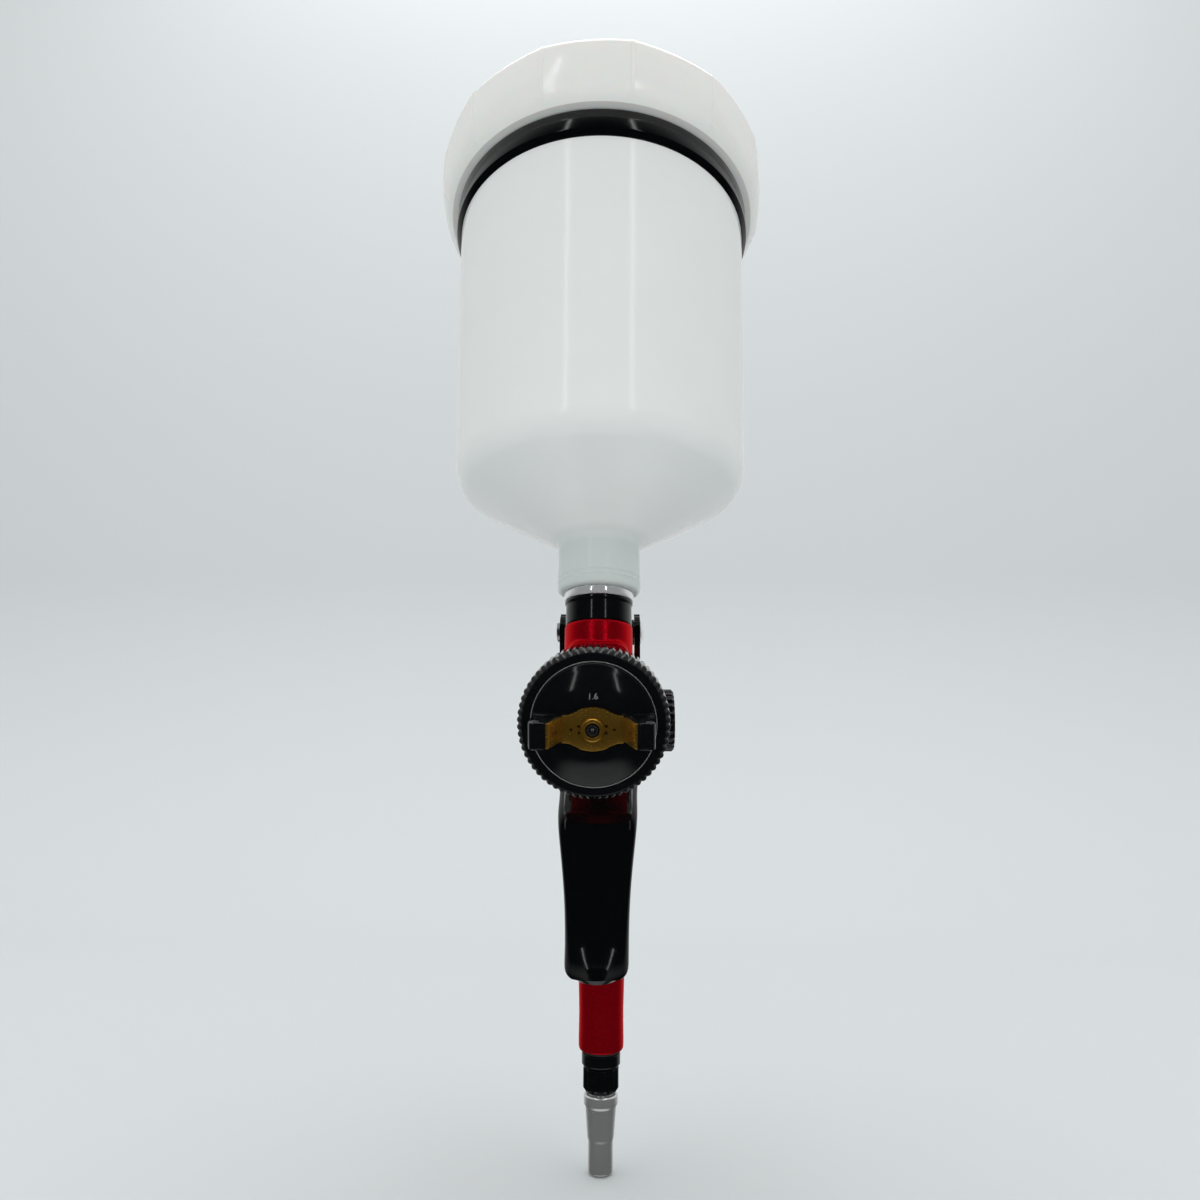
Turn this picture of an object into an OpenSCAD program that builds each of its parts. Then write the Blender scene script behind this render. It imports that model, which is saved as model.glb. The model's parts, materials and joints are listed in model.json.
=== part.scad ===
// Gravity-feed paint spray gun with a screw-on plastic cup.
//
// Frame: +Z is up and the origin is the tip of the air plug. The handle and the cup
// stand on two parallel upright axes; the cup's axis lies `reach` in front of the
// handle's, toward -Y. The spray axis crosses the cup's axis at `head_z` and points
// forward and down. Inside at_head(), +Z runs forward along the spray axis, +Y up
// and +X to the gun's right-hand side as seen from the front. All sizes are in mm.

/* [Overall] */
// Distance from the handle's axis to the cup's axis
reach = 62; // [60:1:68]
// Height of the spray axis at the cup over the handle's lower end
handle_rise = 107; // [102:1:116]
// Angle by which the spray axis points down
nozzle_tilt = 18; // [16:1:20]

/* [Handle] */
// Diameter of the handle's lower end
handle_d = 14.7; // [14:0.1:17]
// Height of the palm swell over the handle's lower end
palm_z = 45; // [36:1:56]
// Height over the lower end at which the grip widens into the block
grip_top_z = 77; // [68:1:80]
// Bore of the handle's air passage
air_passage_d = 6.8; // [5:0.2:7]
// Major diameter of the air inlet thread
inlet_thread_d = 9.73; // [8:0.01:10.5]
// Depth of the air inlet thread
inlet_thread_len = 11; // [8:1:16]

/* [Air inlet] */
// Length of the quick-connect plug
plug_len = 21.6; // [18:0.1:26]
// Diameter of the plug's nose
plug_nose_d = 7.9; // [7:0.1:8.5]
// Length of the plug's nose
plug_nose_len = 8.6; // [7:0.1:10]
// Diameter of the plug's shoulder
plug_shoulder_d = 11; // [10.6:0.1:12]
// Height of the fluted lower part of the inlet fitting
fitting_h = 6.9; // [6:0.1:11]
// Diameter of the fluted lower part
fitting_d = 11.7; // [11.6:0.1:12.5]
// Height of the fitting's upper ring
fitting_ring_h = 3.7; // [3:0.1:6]
// Diameter of the fitting's upper ring
fitting_ring_d = 12.6; // [12:0.1:14]

/* [Cup] */
// Outside diameter of the cup at its collar
cup_d = 94; // [88:1:112]
// Radius that the wall loses from the collar to the shoulder
cup_draft = 3; // [1:0.5:5]
// Wall of the cup
cup_wall = 1.6; // [1.2:0.1:2.4]
// Height of the straight wall
cup_wall_h = 82; // [70:0.5:120]
// Slope of the floor cone from level
cup_cone_angle = 29; // [24:1:36]
// Radius of the shoulder
cup_shoulder_r = 8; // [5:0.5:12]
// Diameter of the neck
cup_neck_d = 24.5; // [22:0.5:28]
// Height of the neck
cup_neck_h = 15; // [12:0.2:18]
// Height of the mouth over the collar's seat
cup_mouth_h = 21.3; // [19:0.1:26]

/* [Collar and lid] */
// Height of the collar
collar_h = 8.2; // [6:0.1:10]
// How far the collar stands out from the cup
collar_proud = 1.5; // [1:0.1:2.5]
// How far the lid stands out from the cup
lid_overhang = 7.3; // [7:0.1:13]
// Height of the lid
lid_h = 20.1; // [20:0.1:24]
// Number of grip facets round the lid
lid_facets = 13; // [8:1:24]
// Depth of the grip facets
lid_facet_cut = 1.2; // [0.6:0.1:1.6]

/* [Neck] */
// Diameter of the body's upright boss
boss_d = 19.8; // [19.4:0.1:20.4]
// Diameter of the adapter's collar
adapter_d = 19.3; // [18:0.1:19.6]
// Height of the adapter's collar
adapter_h = 7.3; // [6:0.1:10]
// Width of the polished ring round the cup thread
neck_ring_rim = 2.3; // [1.8:0.1:3.2]
// Height of the polished ring
neck_ring_h = 2.6; // [2:0.1:4]
// Major diameter of the cup thread
cup_thread_d = 16; // [14:0.5:17]
// Length of the cup thread above the ring
cup_thread_len = 9.6; // [8:0.2:11]
// Bore through the adapter
fluid_inlet_d = 8.6; // [6:0.2:9]

/* [Nozzle set] */
// Orifice of the fluid tip
tip_orifice_d = 1.6; // [1.2:0.1:1.8]
// Diameter of the needle's shank
needle_d = 3.5; // [3:0.1:3.6]
// Width of the air-cap ring round its opening
cap_ring_rim = 3.55; // [2.9:0.05:5]
// Teeth round the air-cap ring
cap_ring_teeth = 64; // [40:1:72]
// Opening of the air-cap ring
cap_window_d = 28.9; // [28.6:0.1:35]
// Diameter of the raised ring round the tip
core_boss_d = 5.2; // [4.4:0.1:6]

/* [Controls] */
// Diameter of the fan-control knob
fan_knob_d = 16.2; // [14:0.2:18]
// Thickness of the fan-control knob
fan_knob_h = 3.6; // [3:0.1:6]
// Diameter of the fluid-control knob
fluid_knob_d = 17; // [15:0.5:19]
// Length of the fluid-control knob
fluid_knob_len = 13; // [10:0.5:20]

/* [Trigger] */
// Sheet thickness of the trigger
trigger_t = 1.8; // [1.4:0.1:2]
// Inner distance between the trigger's straps
trigger_gap = 21.2; // [21:0.1:21.6]
// Width of the trigger at its bend
trigger_bend_w = 22; // [21:0.5:22.4]
// Width of the trigger at its lower end
trigger_tip_w = 17; // [14:0.5:18]
// Diameter of the trigger's pivot pin
pivot_d = 3.5; // [3:0.1:3.6]
// Drop from the pivot to the trigger's lower end
trigger_len = 95; // [85:1:98]

/* [Fits] */
// Radial clearance of a running fit
run_gap = 0.05; // [0.03:0.01:0.1]
// Radial clearance of a screwed or pressed fit
fix_gap = 0.03; // [0.02:0.01:0.06]
// Gap between faces that stay just apart
face_gap = 0.2; // [0.1:0.05:0.3]

/* [Hidden] */
$fn = 64;

// levels up the handle
fitting_z = plug_len + 0.6;
fitting_ring_z = fitting_z + fitting_h + 0.6;
seal_h = 0.8;
seal_z = fitting_ring_z + fitting_ring_h;
handle_z = seal_z + seal_h;
head_z = handle_z + handle_rise;

// levels up the neck and the cup
boss_top = head_z + 20.3;
adapter_top = boss_top + adapter_h;
cup_seat_z = adapter_top + neck_ring_h;
adapter_thread_r = 7.5;
adapter_thread_len = 6.2;
cup_r = cup_d / 2;
cup_low_r = cup_r - cup_draft;
cup_neck_r = cup_neck_d / 2;
cone_z = cup_seat_z + cup_neck_h;
cone_top_r = cup_low_r - cup_shoulder_r * (1 - sin(cup_cone_angle));
shoulder_z = cone_z + (cone_top_r - cup_neck_r) * tan(cup_cone_angle)
    + cup_shoulder_r * cos(cup_cone_angle);
collar_z = shoulder_z + cup_wall_h;
mouth_z = collar_z + cup_mouth_h;
mouth_r = cup_r - 1;
spigot_top = cup_seat_z + cup_thread_len;
strainer_d = cup_thread_d - 3.1;
strainer_top = cone_z + 26;
lid_z = collar_z + collar_h + face_gap;
lid_r = cup_r + lid_overhang;
lid_wall = 2.4;
gasket_h = 1.2;

// stations along the spray axis, forward of the cup's axis
head_rear = -15;
flange_rear = 8;
flange_front = 25;
window_r = cap_window_d / 2;
cap_ring_r = window_r + cap_ring_rim;
flange_r = window_r + 0.15;
stub_front = 33.6;
stub_r = window_r - 1.25;
groove_r = stub_r - 1.3;
groove_in_r = 8.2;
seal_front = stub_front + 0.8;
cap_rear = seal_front + run_gap;
cap_flange_r = window_r + 0.75;
cap_flange_front = seal_front + 2.2;
ring_front = 39;
dome_front = 42.8;
bar_seat = 43.2;
bar_front = 44.3;
core_front = 45.4;
tip_front = 45.2;
tip_seat = 44.6;
tip_slope = 0.268;
horn_front = 51.4;
horn_out = window_r - 0.65;
horn_depth = 6.1;
horn_lean = 2.1;
horn_in = horn_out - horn_depth;
core_r = horn_in - 0.8;

// stations behind the cup's axis
web_rear = -22;
block_front = 16 - reach;
block_rear = -16 - reach;
block_r = trigger_gap / 2 - 0.6;
valve_drop = 13;
valve_bore_r = 5.5;
valve_stem_r = 1.5;
needle_bore_r = 5;
ridge_low = 7;
ridge_high = 16;
ridge_w = trigger_gap - 4;
needle_r = needle_d / 2;
sleeve_r = needle_r + 1.25;
packing_r = needle_r + 2.25;
packing_rear = -11.6;
packing_front = -9;
side_port = block_front - 4.7;
side_port_x = block_r - 2.8;
ridge_port = [ridge_w / 2 - 2, 11];
spring_wire_r = 0.42;
knob_shaft_r = 3.4;
knob_front = block_rear - 5.4;

// fan-control valve, across the front of the head
fan_forward = 14.9;
fan_drop = 3.9;
fan_face = flange_r;

// the trigger's pivot, back from the cup's axis and up from the spray axis
pivot_back = 15;
pivot_up = 22;
pivot_r = pivot_d / 2;
washer_r = pivot_r + 2.25;
strap_out = trigger_gap / 2 + trigger_t;

// ---------------------------------------------------------------- placing

module at_cup(z = 0) {
    translate([0, -reach, z]) children();
}

module at_head(z = 0) {
    translate([0, -reach, head_z]) rotate([90 + nozzle_tilt, 0, 0]) translate([0, 0, z]) children();
}

module at_valve(z = 0) {
    at_head(z) translate([0, -valve_drop, 0]) children();
}

module at_fan(x = 0) {
    at_head(fan_forward) translate([x, -fan_drop, 0]) rotate([0, 90, 0]) children();
}

module at_pivot(x = 0) {
    translate([x, pivot_back - reach, head_z + pivot_up]) rotate([0, 90, 0]) children();
}

// ---------------------------------------------------------------- shapes

// a round rod from z0 to z1
module rod(r, z0, z1) {
    translate([0, 0, z0]) cylinder(r = r, h = z1 - z0);
}

// a rod whose radius runs from r0 at z0 to r1 at z1
module cone(r0, r1, z0, z1) {
    translate([0, 0, z0]) cylinder(r1 = r0, r2 = r1, h = z1 - z0);
}

module tube(r, bore, z0, z1) {
    difference() {
        rod(r, z0, z1);
        rod(bore, z0 - 1, z1 + 1);
    }
}

// a square-cornered plate w by h with round corners of radius r
module round_rect(w, h, r) {
    square([w - 2 * r, h], center = true);
    square([w, h - 2 * r], center = true);
    for (x = [-1, 1], y = [-1, 1]) translate([x * (w / 2 - r), y * (h / 2 - r)]) circle(r);
}

module hexagon(af, z0, z1) {
    translate([0, 0, z0]) cylinder(r = af / 2 / cos(30), h = z1 - z0, $fn = 6);
}

// points of an arc round [cx, cy]
function arc(cx, cy, r, a0, a1, n = 8) =
    [for (i = [0:n]) let (a = a0 + (a1 - a0) * i / n) [cx + r * cos(a), cy + r * sin(a)]];

// a smooth curve through points, by Catmull-Rom
function curve(p, n = 5) = let (last = len(p) - 1) concat(
    [for (i = [0:last - 1], k = [0:n - 1]) let (
        t = k / n, a = p[max(i - 1, 0)], b = p[i], c = p[i + 1], d = p[min(i + 2, last)])
        0.5 * (2 * b + (c - a) * t + (2 * a - 5 * b + 4 * c - d) * t * t
            + (3 * b - a - 3 * c + d) * t * t * t)],
    [p[last]]);

// a round-wire compression spring along +Z with flat-lying end turns
module coil(r, wire_r, length, turns, sides = 8, steps = 14) {
    n = turns * steps;
    rings = [for (i = [0:n]) let (
        a = 360 * i / steps,
        f = max(0, min(1, (i / steps - 0.75) / (turns - 1.5))),
        z = wire_r + f * (length - 2 * wire_r))
        [for (k = [0:sides - 1]) let (b = 360 * k / sides, q = r + wire_r * cos(b))
            [q * cos(a), q * sin(a), z + wire_r * sin(b)]]];
    points = [for (ring = rings, p = ring) p];
    walls = [for (i = [0:n - 1], k = [0:sides - 1]) let (m = (k + 1) % sides)
        [i * sides + k, i * sides + m, (i + 1) * sides + m, (i + 1) * sides + k]];
    ends = [[for (k = [sides - 1:-1:0]) k], [for (k = [0:sides - 1]) n * sides + k]];
    polyhedron(points, concat(walls, ends), convexity = 10);
}

// ---------------------------------------------------------------- body

// one cross-section of the handle: two discs from y0 to y1
module grip_slice(z, r, y0, y1) {
    for (y = [y0, y1]) translate([0, y, z]) cylinder(r = r, h = 0.2, $fn = 32);
}

module grip() {
    low_r = handle_d / 2;
    rod(low_r, handle_z + 1.2, handle_z + 12);
    cone(low_r - 1.2, low_r, handle_z, handle_z + 1.2);
    hull() {
        grip_slice(handle_z + 11, low_r, 0, 0.1);
        grip_slice(handle_z + palm_z, low_r + 1, -2.2, 1.6);
    }
    hull() {
        grip_slice(handle_z + palm_z, low_r + 1, -2.2, 1.6);
        grip_slice(handle_z + grip_top_z, low_r + 2, -5, 3.4);
    }
    hull() {
        grip_slice(handle_z + grip_top_z, low_r + 2, -5, 3.4);
        at_valve(block_rear + 2) cylinder(r = block_r - 0.1, h = block_front - block_rear - 3, $fn = 32);
    }
}

module head_block() {
    len = block_front - block_rear;
    at_head(block_rear) {
        rod(block_r, 0, len);
        translate([0, -valve_drop, 0]) rod(block_r, 0, len);
        translate([-block_r, -valve_drop, 0]) cube([2 * block_r, valve_drop, len]);
        translate([-ridge_w / 2, 0, 0]) cube([ridge_w, ridge_low + 1, len]);
    }
}

module ridge() {
    at_head(block_rear) translate([0, (ridge_low + ridge_high) / 2, 0])
        linear_extrude(flange_rear - block_rear) round_rect(ridge_w, ridge_high - ridge_low, 4);
}

module body_solid() {
    grip();
    head_block();
    ridge();
    at_cup() rod(boss_d / 2, head_z, boss_top);
    at_head() {
        rod(boss_d / 2, head_rear, flange_rear);
        cone(boss_d / 2, flange_r, flange_rear - 3, flange_rear);
        rod(flange_r, flange_rear, flange_front);
        rod(stub_r, flange_front, stub_front);
    }
    at_fan() rod(6.2, 4, fan_face);
    at_pivot(-ridge_w / 2) rod(washer_r + 0.8, 0, ridge_w);
    at_head(head_rear - 16) translate([0, pivot_up - 8, 0]) translate([-ridge_w / 2, -6, 0])
        cube([ridge_w, 6, 16]);
}

module gun_body() {
    lean = atan2(2.5, handle_rise + 8);
    color([0.55, 0.02, 0.05]) difference() {
        body_solid();
        // air passage, inlet thread and valve chamber
        translate([0, 0, handle_z]) rotate([-lean, 0, 0]) rod(air_passage_d / 2, 2, handle_rise + 7);
        rod(inlet_thread_d / 2 + fix_gap, handle_z - 1, handle_z + inlet_thread_len + face_gap);
        at_valve() {
            rod(valve_bore_r, block_rear - 1, block_front + 1);
            rod(8, side_port - 1.4, side_port + 1.4);
            rod(7, block_front, block_front + 12);
        }
        // ports from the valve up to the ridge and forward to the head
        at_head() for (s = [-1, 1]) {
            translate([s * side_port_x, -valve_drop, side_port]) rotate([-90, 0, 0])
                rod(1.3, 0, valve_drop + ridge_port[1]);
            translate([s * ridge_port[0], ridge_port[1], 0]) rod(1.6, block_rear - 1, 22);
        }
        // needle bores
        at_head() {
            rod(needle_bore_r, block_rear - 1, block_front - 5);
            rod(sleeve_r + run_gap, block_front - 6, block_front + 1);
            rod(packing_r + fix_gap, head_rear - 1, packing_front);
            rod(needle_r + 1.25, packing_front - 1, 13);
            rod(5.5 + fix_gap, 12, 28);
            difference() {
                rod(groove_r, 20, stub_front + 1);
                rod(groove_in_r, 19, 28);
                tube(20, groove_r - 0.6, 19, 26);
                tube(groove_in_r + 0.6, 5.5, 19, 26);
            }
        }
        // fluid inlet
        at_cup() {
            rod(fluid_inlet_d / 2, head_z, boss_top + 1);
            rod(adapter_thread_r + fix_gap, boss_top - adapter_thread_len - face_gap, boss_top + 1);
        }
        // fan valve and trigger pivot
        at_fan() {
            rod(4 + fix_gap, 8, fan_face + 1);
            rod(2.2, 6.6, 9);
        }
        at_pivot(-ridge_w) rod(pivot_r + fix_gap, 0, 2 * ridge_w);
    }
}

// ---------------------------------------------------------------- neck

module neck_adapter() {
    r = adapter_d / 2;
    color([0.03, 0.03, 0.035]) at_cup() difference() {
        union() {
            rod(adapter_thread_r, boss_top - adapter_thread_len, boss_top);
            rod(r, boss_top, adapter_top - 1);
            cone(r, r + 0.35, adapter_top - 1, adapter_top - 0.5);
            rod(r + 0.35, adapter_top - 0.5, adapter_top);
            rod(cup_thread_d / 2, adapter_top, spigot_top - 0.6);
            cone(cup_thread_d / 2, cup_thread_d / 2 - 0.6, spigot_top - 0.6, spigot_top);
        }
        rod(fluid_inlet_d / 2, boss_top - 20, spigot_top + 1);
    }
}

module neck_ring() {
    r = cup_thread_d / 2 + neck_ring_rim;
    color([0.85, 0.86, 0.88]) at_cup() difference() {
        union() {
            rod(r, adapter_top, cup_seat_z - 0.4);
            cone(r, r - 0.4, cup_seat_z - 0.4, cup_seat_z);
        }
        rod(cup_thread_d / 2 + fix_gap, adapter_top - 1, cup_seat_z + 1);
    }
}

// ---------------------------------------------------------------- air inlet

module inlet_seal() {
    color([0.05, 0.05, 0.05])
        tube(fitting_ring_d / 2 - 0.4, inlet_thread_d / 2 + fix_gap, seal_z, handle_z);
}

module inlet_fitting() {
    r = fitting_d / 2;
    ring_r = fitting_ring_d / 2;
    flutes = 12;
    color([0.04, 0.04, 0.045]) difference() {
        union() {
            rod(inlet_thread_d / 2, seal_z, handle_z + inlet_thread_len);
            cone(ring_r - 0.5, ring_r, fitting_ring_z, fitting_ring_z + 0.5);
            rod(ring_r, fitting_ring_z + 0.5, seal_z);
            rod(r - 1, fitting_z + fitting_h, fitting_ring_z);
            rod(r, fitting_z + 1.2, fitting_z + fitting_h);
            cone(r - 0.9, r, fitting_z, fitting_z + 1.2);
        }
        rod(2.6, fitting_z - 1, handle_z + inlet_thread_len + 1);
        rod(4 + fix_gap, fitting_z - 1, fitting_z + 8.5);
        for (i = [0:flutes - 1]) rotate(360 * i / flutes) translate([r + 0.5, 0, 0])
            rod(0.9, fitting_z - 1, fitting_z + fitting_h);
    }
}

module air_plug() {
    nose_r = plug_nose_d / 2;
    r = plug_shoulder_d / 2;
    color([0.8, 0.81, 0.82]) difference() {
        rotate_extrude() polygon([
            [0, 0], [nose_r, 0], [nose_r, plug_nose_len], [nose_r + 0.3, plug_nose_len + 0.8],
            [r - 0.5, plug_len - 3.6], [r, plug_len - 2.8], [r, plug_len - 0.4], [r - 0.4, plug_len],
            [4, plug_len], [4, plug_len + 8], [0, plug_len + 8]]);
        rod(2.2, -1, plug_len + 9);
    }
}

// ---------------------------------------------------------------- cup

// the cup's outline from the neck up, moved in by t
function cup_outline(t) = concat(
    [[cup_neck_r - t, cone_z]],
    arc(cup_low_r - cup_shoulder_r, shoulder_z, cup_shoulder_r - t, cup_cone_angle - 90, 0, 10),
    [[cup_r - t, collar_z]]);

module cup() {
    throat_r = strainer_d / 2 + 0.1;
    color([0.93, 0.95, 0.95, 0.6]) at_cup() difference() {
        union() {
            rotate_extrude($fn = 128) polygon(concat([[0, cone_z]], cup_outline(0), [[0, collar_z]]));
            rod(cup_neck_r, cup_seat_z + 0.8, cone_z + 1);
            cone(cup_neck_r - 0.7, cup_neck_r, cup_seat_z, cup_seat_z + 0.8);
            rod(mouth_r, collar_z - 1, mouth_z, $fn = 128);
        }
        rotate_extrude($fn = 128) polygon(concat(
            [[0, cone_z + cup_wall], [throat_r, cone_z + cup_wall]],
            [for (p = cup_outline(cup_wall)) if (p[1] > cone_z + 4) p],
            [[mouth_r - cup_wall, collar_z + 1], [mouth_r - cup_wall, mouth_z + 1], [0, mouth_z + 1]]));
        rod(throat_r, spigot_top, cone_z + 6);
        rod(cup_thread_d / 2 + run_gap, cup_seat_z - 1, spigot_top + face_gap);
    }
}

module cup_strainer() {
    r = strainer_d / 2;
    windows = 8;
    low = cone_z + 4;
    high = strainer_top - 4;
    color([0.75, 0.77, 0.78]) at_cup() {
        difference() {
            rod(r, spigot_top, strainer_top - 2);
            rod(r - 0.9, spigot_top - 1, strainer_top);
            for (i = [0:windows - 1]) rotate(360 * i / windows) translate([0, -1.3, low])
                cube([r + 1, 2.6, high - low]);
        }
        difference() {
            tube(r, r - 0.9, strainer_top - 2.5, strainer_top + 4.5);
            translate([-r - 1, -r * 0.62, strainer_top - 2]) cube([2 * r + 2, r * 1.24, 8]);
        }
    }
}

module cup_collar() {
    r = cup_r + collar_proud;
    top = collar_z + collar_h;
    color([0.02, 0.02, 0.022]) at_cup() rotate_extrude($fn = 128) polygon([
        [mouth_r + fix_gap, collar_z], [r - 0.9, collar_z], [r, collar_z + 1.1], [r, top - 0.5],
        [r - 0.5, top], [mouth_r + fix_gap, top]]);
}

// ---------------------------------------------------------------- lid

module lid_outside() {
    corner = lid_r + 0.3;
    flat = lid_r - lid_facet_cut;
    top = lid_z + lid_h;
    step = 360 / lid_facets;
    intersection() {
        rotate_extrude($fn = 128) polygon(concat(
            [[0, lid_z]],
            curve([[lid_r - 3.9, lid_z], [lid_r - 2.2, lid_z + 1.6], [lid_r - 0.9, lid_z + 3.8],
                [lid_r - 0.2, lid_z + 6.6], [lid_r, lid_z + 9.5]], 2),
            arc(lid_r - 3.5, top - 3.5, 3.5, 0, 90, 6),
            [[0, top]]));
        rotate(-90 + 10.7) linear_extrude(top + 1) polygon([for (i = [0:lid_facets - 1])
            (flat / cos(step / 2)) * [cos(step * i), sin(step * i)]]);
    }
}

module lid() {
    top = lid_z + lid_h;
    inner_r = lid_r - lid_facet_cut - lid_wall;
    color([0.93, 0.94, 0.92]) at_cup() difference() {
        lid_outside();
        // hollow over the threaded lip, and the recess for the cup's mouth
        rod(mouth_r + face_gap, lid_z - 1, mouth_z + gasket_h, $fn = 128);
        tube(inner_r, mouth_r, lid_z + 2.8, top - 4.4, $fn = 128);
        rod(mouth_r - 4, lid_z, top - 2.4, $fn = 128);
        rod(2.5 + fix_gap, lid_z, top + 1);
    }
}

module lid_gasket() {
    color([0.8, 0.82, 0.82]) at_cup()
        tube(mouth_r - 0.2, mouth_r - 3.8, mouth_z, mouth_z + gasket_h, $fn = 128);
}

module lid_vent() {
    top = lid_z + lid_h;
    color([0.93, 0.94, 0.92]) at_cup() difference() {
        union() {
            rod(2.5, top - 6, top);
            cone(2.5, 3, top - 6.6, top - 6);
            rod(5.5, top, top + 2.2);
            cone(5.5, 4.5, top + 2.2, top + 3);
        }
        rod(0.6, top - 8, top + 2);
        translate([-7, -0.6, top + 2]) cube([14, 1.2, 2]);
    }
}

// ---------------------------------------------------------------- nozzle set

module fluid_tip() {
    seat_r = tip_orifice_d / 2;
    bore_r = needle_r + 0.55;
    color([0.62, 0.63, 0.65]) at_head() difference() {
        union() {
            rod(5.5, 14, 28);
            hexagon(14, 28, 32);
            rod(5.2, 32, 34);
            cone(5.2, 2.2, 34, 41);
            cone(2.2, 1.3, 41, 43);
            rod(1.3, 43, tip_front);
        }
        rod(bore_r, 13, tip_seat - (bore_r - seat_r) / tip_slope);
        cone(bore_r, seat_r, tip_seat - (bore_r - seat_r) / tip_slope, tip_seat);
        rod(seat_r, tip_seat - 0.1, 47);
    }
}

module air_baffle() {
    holes = 10;
    color([0.7, 0.71, 0.72]) at_head() difference() {
        tube(groove_r - fix_gap, groove_in_r + fix_gap, 26, 27.6);
        for (i = [0:holes - 1]) rotate(360 * i / holes)
            translate([(groove_r + groove_in_r) / 2, 0, 0]) rod(0.8, 25, 29);
    }
}

module cap_seal() {
    color([0.9, 0.9, 0.88]) at_head() tube(stub_r - 0.1, groove_r + 0.1, stub_front, seal_front);
}

// one horn's outline across the cap, from the raised bar out to the rim
module horn_outline() {
    polygon([[horn_in, bar_seat], [horn_in + horn_lean, horn_front], [horn_out - 1, horn_front],
        [horn_out, horn_front - 1], [horn_out, 38], [horn_in, 38]]);
}

module air_cap() {
    color([0.02, 0.02, 0.025]) at_head() difference() {
        union() {
            rotate_extrude() polygon(concat(
                [[0, cap_rear], [cap_flange_r, cap_rear], [cap_flange_r, cap_flange_front],
                [window_r - run_gap, cap_flange_front], [window_r - run_gap, ring_front + 0.3],
                [window_r - 0.5, ring_front + 0.8]],
                [for (i = [1:8]) let (q = 1 - i / 8, r = 5 + (window_r - 5.5) * q)
                    [r, ring_front + 0.8 + (dome_front - ring_front - 0.8) * (1 - q * q)]],
                [[0, dome_front]]));
            translate([-horn_out, -3.3, 38]) cube([2 * horn_out, 6.6, bar_seat - 38]);
            for (s = [0, 1]) mirror([s, 0, 0]) translate([0, 2.8, 0]) rotate([90, 0, 0])
                linear_extrude(5.6) horn_outline();
        }
        difference() {
            rod(groove_r, seal_front - 1, 38);
            tube(core_r + 1.5, core_r + fix_gap, seal_front - 2, 39);
        }
        rod(core_r + fix_gap, seal_front - 2, bar_seat + 1);
        for (s = [-1, 1]) translate([s * (horn_out - 1.6), 0, 0]) rod(0.9, 37, horn_front - 2.2);
        for (s = [-1, 1]) translate([s * (horn_out - 3.4), 0, 0]) rod(1, 37, 46);
    }
}

module air_cap_core() {
    side_holes = [[4.85, 0], [3.1, 0.75], [3.1, -0.75]];
    color([0.78, 0.58, 0.2]) at_head() difference() {
        union() {
            rod(core_r, 39, bar_seat);
            translate([-core_r, -3, bar_seat]) cube([2 * core_r, 6, bar_front - bar_seat]);
            rod(4.6, bar_seat, bar_front + 0.25);
            rod(core_boss_d / 2, bar_front, core_front);
            for (s = [0, 1]) mirror([s, 0, 0]) translate([0, 2.95, 0]) rotate([90, 0, 0])
                linear_extrude(5.9) polygon([[core_r - 0.4, bar_seat], [horn_in, bar_seat],
                    [horn_in + horn_lean, horn_front], [horn_in + horn_lean - 0.6, horn_front],
                    [core_r - 0.1, bar_front]]);
        }
        rod(5.5, 38, 41);
        cone(5.5, 1.7, 41, 43.6);
        rod(1.62, 43, 47);
        for (s = [-1, 1], h = side_holes) translate([s * h[0], h[1], 0]) rod(0.32, 40, 46);
        for (s = [0, 1], u = [0.42, 0.72]) mirror([s, 0, 0])
            translate([core_r - 0.1 + 2.4 * u, 0, bar_front + 7.1 * u]) rotate([0, -71, 0])
                rod(0.42, -1.4, 2);
    }
}

module air_cap_ring() {
    r = cap_ring_r;
    notch_r = 0.55;
    rear = flange_front + face_gap;
    color([0.02, 0.02, 0.022]) at_head() difference() {
        rotate_extrude() polygon([
            [stub_r + run_gap, rear], [r - 1.6, rear], [r - 1.6, rear + 2.4], [r - 0.2, rear + 3.2],
            [r, rear + 3.6], [r, ring_front - 1.4], [r - 1.2, ring_front], [window_r + run_gap, ring_front],
            [window_r + run_gap, cap_flange_front + 0.1], [cap_flange_r + 0.4, cap_flange_front + 0.1],
            [cap_flange_r + 0.4, stub_front - 1], [stub_r + run_gap, stub_front - 1]]);
        for (i = [0:cap_ring_teeth - 1]) rotate(360 * i / cap_ring_teeth)
            translate([r + 0.1, 0, 0]) rod(notch_r, rear + 2.8, ring_front + 1);
    }
}

module cap_ring_clip() {
    gap_angle = 24;
    color([0.75, 0.76, 0.78]) at_head() difference() {
        tube(cap_flange_r + 0.35, stub_r + 0.5, stub_front - 0.95, seal_front - 0.05);
        linear_extrude(60) polygon([[0, 0], 30 * [cos(gap_angle), sin(gap_angle)],
            30 * [cos(gap_angle), -sin(gap_angle)]]);
    }
}

// ---------------------------------------------------------------- needle

module needle() {
    seat_r = tip_orifice_d / 2 - 0.03;
    color([0.85, 0.86, 0.88]) at_head() rotate_extrude() polygon([
        [0, block_rear + 12], [needle_r, block_rear + 12], [needle_r, tip_seat - (needle_r - seat_r) / tip_slope],
        [seat_r, tip_seat], [0.2, tip_seat + 2], [0, tip_seat + 2]]);
}

module needle_packing() {
    color([0.92, 0.92, 0.9]) at_head() tube(packing_r, needle_r + run_gap, packing_rear, packing_front);
}

module packing_nut() {
    color([0.8, 0.68, 0.4]) at_head() difference() {
        union() {
            rod(packing_r, head_rear, packing_rear);
            hexagon(2 * packing_r + 2.6, head_rear - 3.6, head_rear);
        }
        rod(needle_r + run_gap, -20, -9);
    }
}

module needle_collar() {
    color([0.8, 0.81, 0.83]) at_head()
        tube(sleeve_r + 1, sleeve_r + fix_gap, web_rear - 3.3, web_rear - face_gap);
}

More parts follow.
